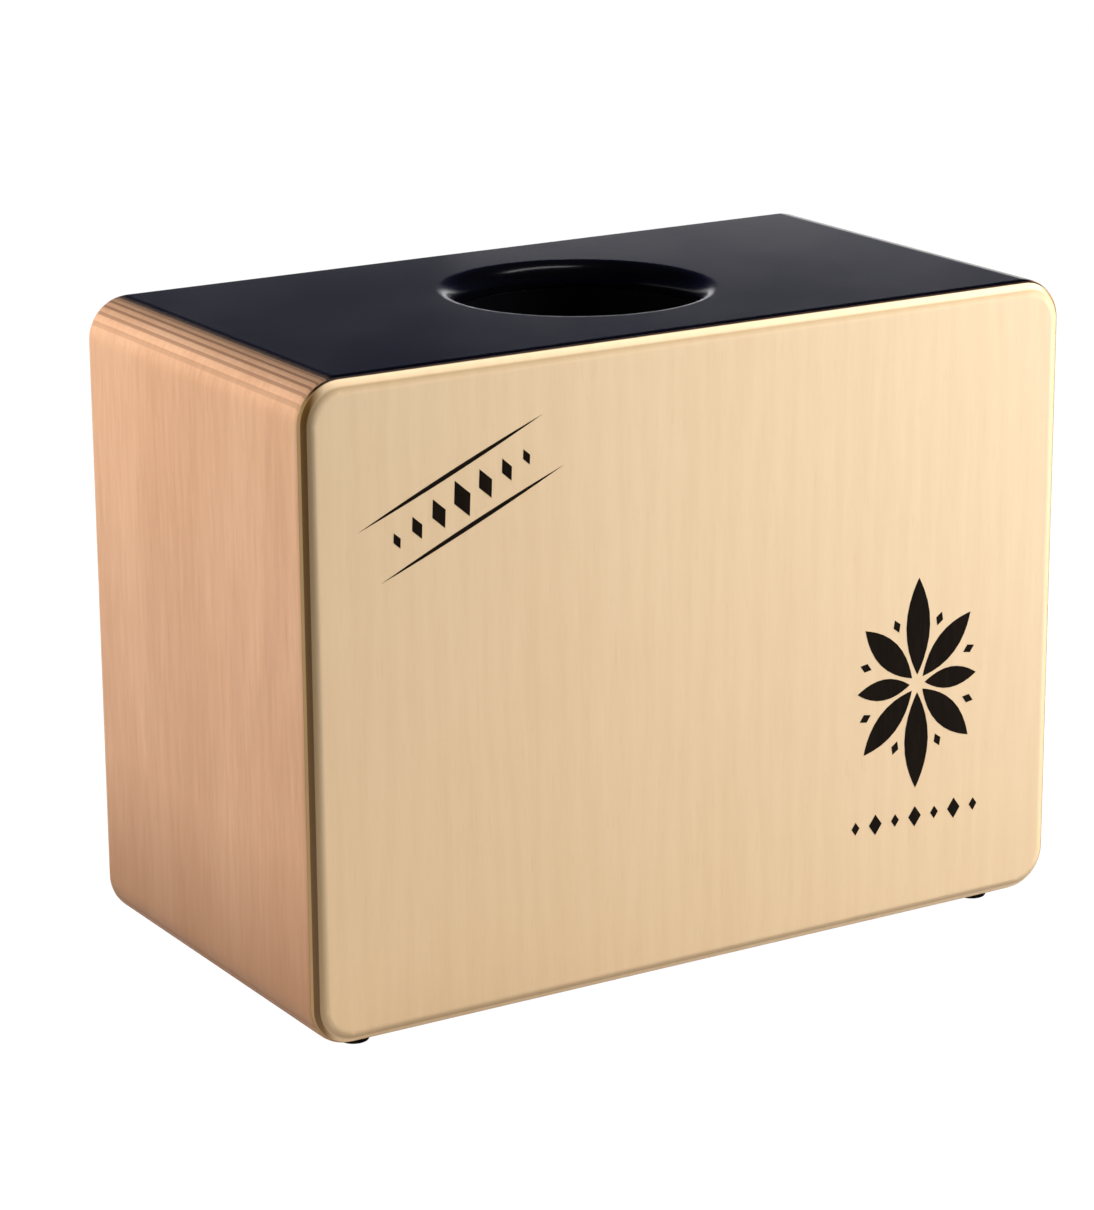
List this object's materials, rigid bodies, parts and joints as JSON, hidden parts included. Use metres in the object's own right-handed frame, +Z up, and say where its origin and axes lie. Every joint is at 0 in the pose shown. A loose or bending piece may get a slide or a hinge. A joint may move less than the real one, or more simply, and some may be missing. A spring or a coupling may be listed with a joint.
{
  "type": "small cajon",
  "caption": "Box drum with a thin plywood playing face, round-edged ends, a black top with a round sound port, rubber feet and removable snares inside.",
  "frame": {"origin": "on the floor under the middle of the box, at the underside of the rubber feet", "axes": "+X along the box's length to the player's right-hand end panel as seen from the front, -Y out of the playing face towards the player, +Z up"},
  "size_m": [0.282, 0.148, 0.214],
  "materials": {
    "playing_ply": "clear satin lacquer on pale thin plywood, vertical grain",
    "rear_ply": "clear satin lacquer on plywood",
    "beech_ply": "clear satin lacquer on beech multi-ply, plies exposed on the round edges",
    "black_lacquered_ply": "satin black lacquer on multi-ply",
    "bottom_ply": "clear matt lacquer on multi-ply",
    "port_plastic": "fine-textured matt black",
    "foot_rubber": "matt black moulded rubber",
    "screw_steel": "bright zinc plate",
    "snare_steel": "bright drawn steel",
    "bar_beech": "sanded raw beech",
    "hook_and_loop": "black woven hook-and-loop tape"
  },
  "bodies": {
    "box": {"front_plate": "playing_ply", "rear_plate": "rear_ply", "left_end_panel": "beech_ply", "right_end_panel": "beech_ply", "top_panel": "black_lacquered_ply", "bottom_panel": "bottom_ply", "port_tube": "port_plastic", "foot_front_left": "foot_rubber", "foot_front_right": "foot_rubber", "foot_rear_left": "foot_rubber", "foot_rear_right": "foot_rubber", "foot_screw_front_left": "screw_steel", "foot_screw_front_right": "screw_steel", "foot_screw_rear_left": "screw_steel", "foot_screw_rear_right": "screw_steel", "loop_pad_left": "hook_and_loop", "loop_pad_right": "hook_and_loop"},
    "snare_left": {"snare_bar_left": "bar_beech", "snare_strip_left": "snare_steel", "snare_screw_left_outer": "screw_steel", "snare_screw_left_inner": "screw_steel", "hook_pad_left": "hook_and_loop", "snare_wire_left_1": "snare_steel", "snare_wire_left_2": "snare_steel", "snare_wire_left_3": "snare_steel", "snare_wire_left_4": "snare_steel", "snare_wire_left_5": "snare_steel", "snare_wire_left_6": "snare_steel", "snare_wire_left_7": "snare_steel", "snare_wire_left_8": "snare_steel"},
    "snare_right": {"snare_bar_right": "bar_beech", "snare_strip_right": "snare_steel", "snare_screw_right_outer": "screw_steel", "snare_screw_right_inner": "screw_steel", "hook_pad_right": "hook_and_loop", "snare_wire_right_1": "snare_steel", "snare_wire_right_2": "snare_steel", "snare_wire_right_3": "snare_steel", "snare_wire_right_4": "snare_steel", "snare_wire_right_5": "snare_steel", "snare_wire_right_6": "snare_steel", "snare_wire_right_7": "snare_steel", "snare_wire_right_8": "snare_steel"}
  },
  "joints": [
    {"name": "snare_left_pull", "type": "slide", "parent": "box", "child": "snare_left", "axis": [0, 1, 0], "range_m": [0, 0.03]},
    {"name": "snare_right_pull", "type": "slide", "parent": "box", "child": "snare_right", "axis": [0, 1, 0], "range_m": [0, 0.03]}
  ]
}
